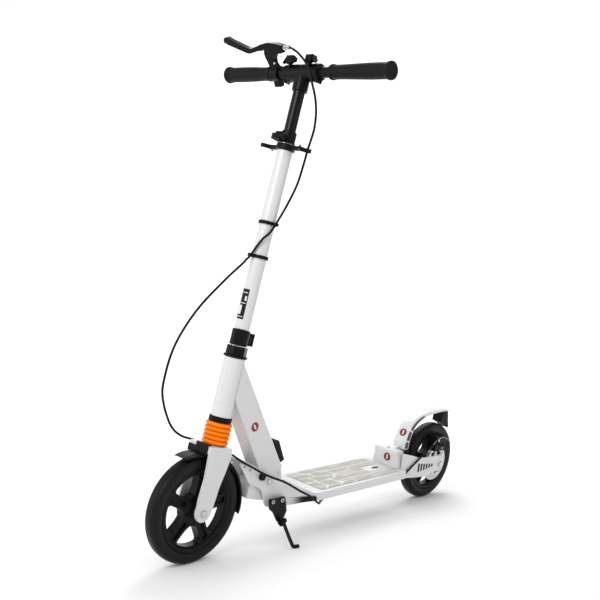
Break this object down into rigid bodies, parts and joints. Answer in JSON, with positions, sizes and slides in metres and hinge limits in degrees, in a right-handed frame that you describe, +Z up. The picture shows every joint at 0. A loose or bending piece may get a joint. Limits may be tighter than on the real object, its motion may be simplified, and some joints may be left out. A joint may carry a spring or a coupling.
{
  "type": "kick scooter",
  "caption": "Adult folding kick scooter with telescopic T-bar, front suspension, hand-operated rear disc brake, foot brake fender and side stand.",
  "frame": {"origin": "centre of the bounding box on the floor, with the scooter leaning on its side stand", "axes": "+Z up, forward is -X, the rider's left is -Y; the scooter leans 9.4 degrees toward -Y"},
  "size_m": [1.0602, 0.4718, 1.1392],
  "materials": {
    "white_alloy": "satin white paint",
    "black_alloy": "satin black anodised",
    "black_steel": "black powder coat",
    "steel": "bright",
    "tyre": "satin",
    "rubber": "matte",
    "orange_rubber": "satin",
    "grip_sheet": "sandpaper",
    "white_plastic": "gloss",
    "black_plastic": "satin"
  },
  "bodies": {
    "deck": {"bracket_cap_bolt": "black_steel", "brake_cable_deck": "black_plastic", "cable_grommet": "black_plastic", "caliper_body": "black_alloy", "deck_crosspiece": "white_alloy", "deck_platform": "white_alloy", "fender_bracket": "white_alloy", "fold_bracket_left": "white_alloy", "fold_bracket_right": "white_alloy", "fold_pivot_bolt": "steel", "grip_tape": "grip_sheet", "kickstand_bracket": "black_steel", "latch_plate": "steel", "rear_axle": "steel", "rear_plate_left": "white_alloy", "rear_plate_right": "white_alloy"},
    "front_frame": {"brake_cable_loop": "black_plastic", "down_tube": "white_alloy", "head_tube": "white_alloy", "headset_cup_lower": "black_alloy", "headset_cup_upper": "steel"},
    "fold_lever": {"fold_lever": "black_steel"},
    "kickstand": {"kickstand_leg": "black_steel"},
    "rear_fender": {"brake_block": "rubber", "rear_fender": "white_plastic"},
    "caliper_arm": {"caliper_arm": "steel"},
    "rear_wheel": {"brake_disc": "steel", "rear_bearings": "steel", "rear_rim": "black_plastic", "rear_tyre": "tyre"},
    "steering": {"brake_cable_stem": "black_plastic", "cable_ring_lower": "black_plastic", "cable_ring_upper": "black_plastic", "grip_clip": "black_plastic", "headset_cap": "black_alloy", "headset_nut": "black_alloy", "height_clamp": "black_alloy", "steerer_tube": "steel", "stem_clamp": "black_alloy", "stem_tube": "white_alloy"},
    "clamp_lever": {"clamp_lever": "black_alloy"},
    "fork": {"bellows": "orange_rubber", "fork": "white_alloy", "front_axle": "steel", "front_fender": "black_plastic", "suspension_spring": "steel"},
    "front_wheel": {"front_bearings": "steel", "front_rim": "black_plastic", "front_tyre": "tyre"},
    "handlebar": {"brake_cable_upper": "black_plastic", "t_sleeve": "black_alloy", "upper_tube": "black_alloy"},
    "latch_left": {"latch_left": "black_alloy"},
    "latch_right": {"latch_right": "black_alloy"},
    "bar_left": {"bar_left": "black_alloy", "grip_left": "rubber"},
    "bar_right": {"bar_right": "black_alloy", "brake_perch": "black_alloy", "grip_right": "rubber"},
    "brake_lever": {"brake_lever": "black_alloy"}
  },
  "joints": [
    {"name": "fold_hinge", "type": "hinge", "parent": "deck", "child": "front_frame", "pos_m": [-0.22885, 0.14431, 0.15323], "axis": [0, 0.9866, 0.1633], "range_deg": [0, 78], "deforming": ["brake_cable_deck"]},
    {"name": "fold_lever_hinge", "type": "hinge", "parent": "front_frame", "child": "fold_lever", "pos_m": [-0.18035, 0.14062, 0.17552], "axis": [0, 0.9866, 0.1633], "range_deg": [0, 15], "stiffness_Nm_per_rad": 0.6, "springref_deg": -14.32},
    {"name": "kickstand_hinge", "type": "hinge", "parent": "deck", "child": "kickstand", "pos_m": [-0.19535, 0.10437, 0.05468], "axis": [0, -0.8639, 0.5037], "range_deg": [0, 92]},
    {"name": "rear_fender_hinge", "type": "hinge", "parent": "deck", "child": "rear_fender", "pos_m": [0.25185, 0.14508, 0.14859], "axis": [0, 0.9866, 0.1633], "range_deg": [0, 1.2], "stiffness_Nm_per_rad": 25, "springref_deg": -2.86},
    {"name": "caliper_arm_hinge", "type": "hinge", "parent": "deck", "child": "caliper_arm", "pos_m": [0.42185, 0.09379, 0.15226], "axis": [0, -0.9866, -0.1633], "range_deg": [0, 12]},
    {"name": "rear_wheel_spin", "type": "hinge", "parent": "deck", "child": "rear_wheel", "pos_m": [0.42505, 0.15243, 0.10419], "axis": [0, 0.9866, 0.1633], "continuous": true},
    {"name": "steer_hinge", "type": "hinge", "parent": "front_frame", "child": "steering", "pos_m": [-0.41925, 0.16958, 0.0006], "axis": [0.17, -0.1609, 0.9722], "range_deg": [-45, 45], "deforming": ["brake_cable_loop", "brake_cable_stem"]},
    {"name": "clamp_lever_hinge", "type": "hinge", "parent": "steering", "child": "clamp_lever", "pos_m": [-0.29053, 0.03899, 0.89043], "axis": [0.17, -0.1609, 0.9722], "range_deg": [0, 150]},
    {"name": "suspension_slide", "type": "slide", "parent": "steering", "child": "fork", "axis": [0.17, -0.1609, 0.9722], "range_m": [0, 0.008], "stiffness_N_per_m": 8000, "springref_m": -0.006, "deforming": ["suspension_spring", "bellows"]},
    {"name": "front_wheel_spin", "type": "hinge", "parent": "fork", "child": "front_wheel", "pos_m": [-0.41514, 0.1508, 0.11403], "axis": [0, 0.9866, 0.1633], "continuous": true},
    {"name": "height_slide", "type": "slide", "parent": "steering", "child": "handlebar", "axis": [0.17, -0.1609, 0.9722], "range_m": [-0.085, 0], "deforming": ["brake_cable_upper"]},
    {"name": "latch_left_hinge", "type": "hinge", "parent": "handlebar", "child": "latch_left", "pos_m": [-0.25326, -0.03156, 1.04411], "axis": [-0.9854, -0.0278, 0.1677], "range_deg": [0, 20]},
    {"name": "latch_right_hinge", "type": "hinge", "parent": "handlebar", "child": "latch_right", "pos_m": [-0.25326, 0.02369, 1.05326], "axis": [0.9854, 0.0278, -0.1677], "range_deg": [0, 20]},
    {"name": "bar_left_hinge", "type": "hinge", "parent": "handlebar", "child": "bar_left", "pos_m": [-0.24322, -0.04249, 0.99992], "axis": [0.9854, 0.0278, -0.1677], "range_deg": [0, 90]},
    {"name": "bar_right_hinge", "type": "hinge", "parent": "handlebar", "child": "bar_right", "pos_m": [-0.24322, 0.04828, 1.01494], "axis": [-0.9854, -0.0278, 0.1677], "range_deg": [0, 90]},
    {"name": "brake_lever_hinge", "type": "hinge", "parent": "bar_right", "child": "brake_lever", "pos_m": [-0.26423, 0.07896, 1.08981], "axis": [-0.9047, 0.0696, -0.4203], "range_deg": [0, 14], "stiffness_Nm_per_rad": 0.6, "springref_deg": -22.92}
  ],
  "couplings": [
    {"joint": "caliper_arm_hinge", "follows": "brake_lever_hinge", "ratio": 0.85}
  ]
}
